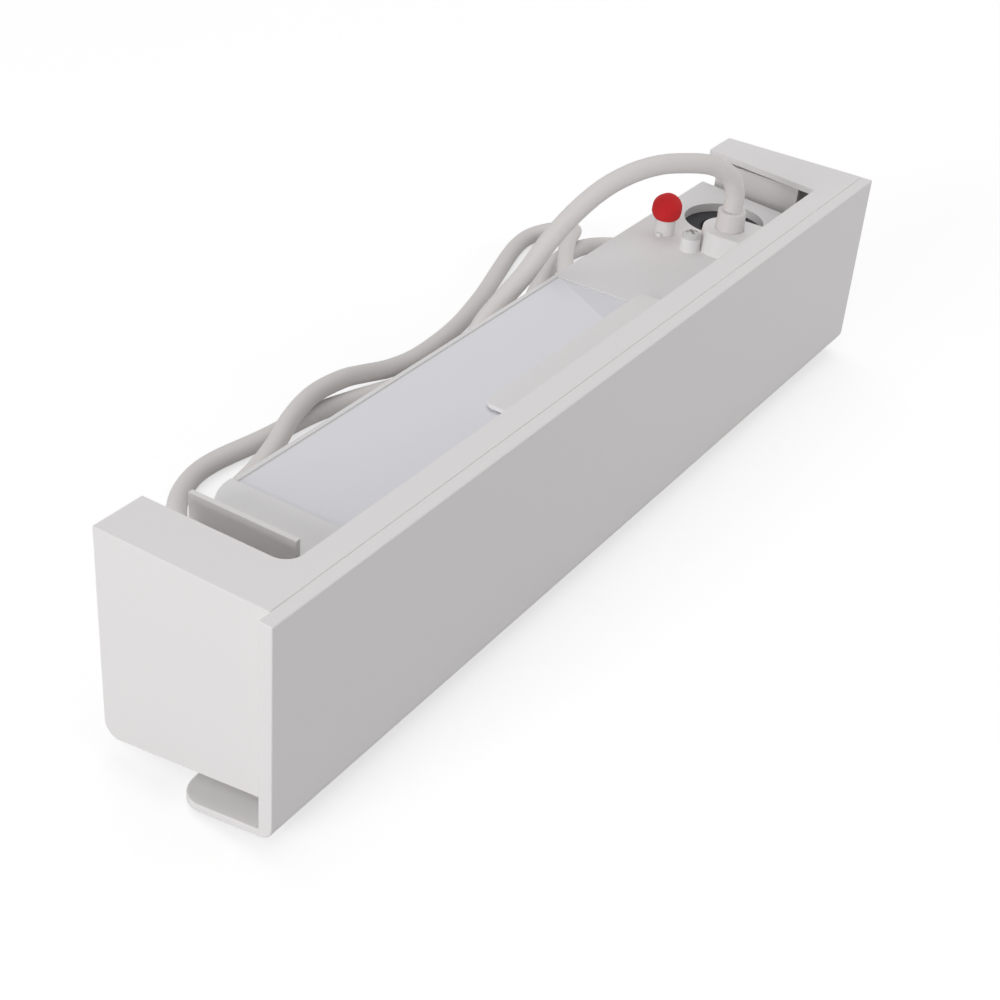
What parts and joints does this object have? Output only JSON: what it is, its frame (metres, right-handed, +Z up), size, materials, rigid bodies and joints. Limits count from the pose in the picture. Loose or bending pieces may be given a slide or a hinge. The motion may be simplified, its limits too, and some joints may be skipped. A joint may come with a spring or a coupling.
{
  "type": "condensate pump",
  "caption": "Low white condensate pump in a wall bracket under a slide-on cover, with inlet, capped spigot and looped supply cord.",
  "frame": {"origin": "on the standing surface, below the middle of the outline of the object without its cord", "axes": "+X along the cover to its inlet end, +Y to the wall, +Z up"},
  "size_m": [0.3198, 0.1277, 0.0843],
  "materials": {
    "cover_white": "satin moulded ABS",
    "bracket_white": "satin moulded ABS",
    "casing_white": "semi-gloss moulded ABS",
    "label_film": "smooth film",
    "screw_steel": "bright zinc plated",
    "rubber_grey": "matt",
    "rubber_black": "matt",
    "filter_mesh": "fine mesh",
    "ivory_plastic": "satin",
    "float_foam": "closed-cell foam",
    "magnet_dark": "ferrite",
    "barrel_steel": "drawn stainless",
    "piston_iron": "ground soft iron",
    "spring_steel": "bright wire",
    "valve_plastic": "moulded",
    "copper_winding": "enamelled wire",
    "yoke_steel": "pressed sheet",
    "clear_tube": "silicone tube",
    "cap_red": "glossy dipped",
    "cable_pvc": "soft PVC",
    "board_green": "circuit board",
    "component_black": "moulded",
    "terminal_green": "moulded",
    "lead_brown": "PVC insulation",
    "lead_blue": "PVC insulation",
    "lead_grey": "PVC insulation",
    "bare_copper": "tinned strands"
  },
  "bodies": {
    "pump": {"wall_bracket": "bracket_white", "isolation_pads": "rubber_grey", "pump_casing": "casing_white", "casing_lid": "casing_white", "rating_label": "label_film", "lid_screw": "screw_steel", "inlet_seal": "rubber_black", "inlet_filter": "filter_mesh", "float_guide": "ivory_plastic", "level_sensor": "board_green", "pump_barrel": "barrel_steel", "main_spring": "spring_steel", "buffer_spring": "spring_steel", "inlet_valve_block": "valve_plastic", "outlet_valve_block": "valve_plastic", "valve_discs": "rubber_black", "barrel_seals": "rubber_black", "coil_bobbin": "ivory_plastic", "coil_winding": "copper_winding", "coil_yoke": "yoke_steel", "thermal_cutout": "component_black", "suction_tube": "clear_tube", "discharge_tube": "clear_tube", "discharge_spigot": "casing_white", "cable_collar": "cable_pvc", "control_board": "board_green", "board_components": "component_black", "terminal_block": "terminal_green", "supply_leads": "lead_brown", "power_cord": "cable_pvc", "tail_brown": "lead_brown", "tail_blue": "lead_blue", "tail_black": "component_black", "tail_grey": "lead_grey", "tail_ends": "bare_copper"},
    "cover": {"cover_body": "cover_white", "front_fascia": "cover_white"},
    "float": {"float_body": "float_foam", "float_magnet": "magnet_dark"},
    "cap": {"spigot_cap": "cap_red"},
    "plunger": {"piston": "piston_iron"}
  },
  "joints": [
    {"name": "cover_slide", "type": "slide", "parent": "pump", "child": "cover", "axis": [0, -1, 0], "range_m": [0, 0.07]},
    {"name": "cap_pull", "type": "slide", "parent": "pump", "child": "cap", "axis": [0, 0, 1], "range_m": [0, 0.012]},
    {"name": "float_rise", "type": "slide", "parent": "pump", "child": "float", "axis": [0, 0, 1], "range_m": [0, 0.008]},
    {"name": "piston_stroke", "type": "slide", "parent": "pump", "child": "plunger", "axis": [1, 0, 0], "range_m": [-0.002, 0.002], "stiffness_N_per_m": 2000, "deforming": ["main_spring", "buffer_spring"]}
  ]
}
